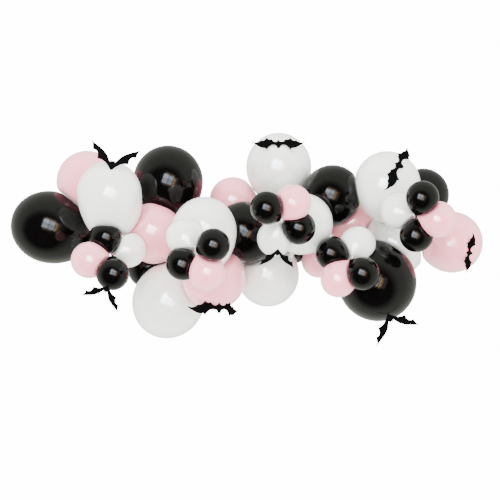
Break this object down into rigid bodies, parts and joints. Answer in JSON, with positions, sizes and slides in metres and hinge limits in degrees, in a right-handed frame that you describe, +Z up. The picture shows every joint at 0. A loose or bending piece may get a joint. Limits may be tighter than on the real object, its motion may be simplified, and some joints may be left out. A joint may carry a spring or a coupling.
{
  "type": "balloon garland",
  "caption": "Long balloon garland of black, white and pale pink balloons with small balloon clusters and black paper bats, fixed to a wall.",
  "frame": {"origin": "middle of the flat where the pink balloon of the upper middle is stuck to the wall, about the middle of the garland", "axes": "+X along the garland to the viewer's right, +Y into the wall, +Z up"},
  "size_m": [1.7046, 0.7026, 0.7664],
  "materials": {
    "black_latex": "glossy black latex",
    "white_latex": "satin white latex",
    "pink_latex": "satin pale pink latex",
    "bat_card": "matt black card"
  },
  "bodies": {
    "root": {"black_balloon_far_left": "black_latex", "pink_balloon_upper_left": "pink_latex", "white_balloon_upper_left": "white_latex", "black_balloon_upper_left": "black_latex", "pink_balloon_left_middle": "pink_latex", "black_balloon_left_back": "black_latex", "white_balloon_lower_left": "white_latex", "pink_balloon_lower_left": "pink_latex", "white_balloon_left_middle": "white_latex", "black_balloon_middle": "black_latex", "pink_balloon_upper_middle": "pink_latex", "white_balloon_top_middle": "white_latex", "white_balloon_bottom_middle": "white_latex", "white_balloon_right_middle": "white_latex", "black_balloon_upper_right": "black_latex", "pink_balloon_right_back": "pink_latex", "pink_balloon_lower_middle": "pink_latex", "black_balloon_middle_back": "black_latex", "black_balloon_lower_right": "black_latex", "white_balloon_upper_right": "white_latex", "white_balloon_lower_right": "white_latex", "black_balloon_right_back": "black_latex", "pink_balloon_far_right": "pink_latex", "left_cluster_front_black": "black_latex", "left_cluster_pink": "pink_latex", "left_cluster_side_black": "black_latex", "left_cluster_white": "white_latex", "left_middle_cluster_front_black": "black_latex", "left_middle_cluster_pink": "pink_latex", "left_middle_cluster_side_black": "black_latex", "left_middle_cluster_white": "white_latex", "middle_cluster_front_black": "black_latex", "middle_cluster_pink": "pink_latex", "middle_cluster_side_black": "black_latex", "middle_cluster_white": "white_latex", "right_middle_cluster_front_black": "black_latex", "right_middle_cluster_pink": "pink_latex", "right_middle_cluster_side_black": "black_latex", "right_middle_cluster_white": "white_latex", "right_cluster_front_black": "black_latex", "right_cluster_pink": "pink_latex", "right_cluster_side_black": "black_latex", "right_cluster_white": "white_latex", "bat_top_left": "bat_card", "bat_left_cluster": "bat_card", "bat_bottom_left": "bat_card", "bat_top_middle": "bat_card", "bat_middle_cluster": "bat_card", "bat_top_right": "bat_card", "bat_far_right": "bat_card", "bat_lower_right": "bat_card"}
  },
  "joints": []
}
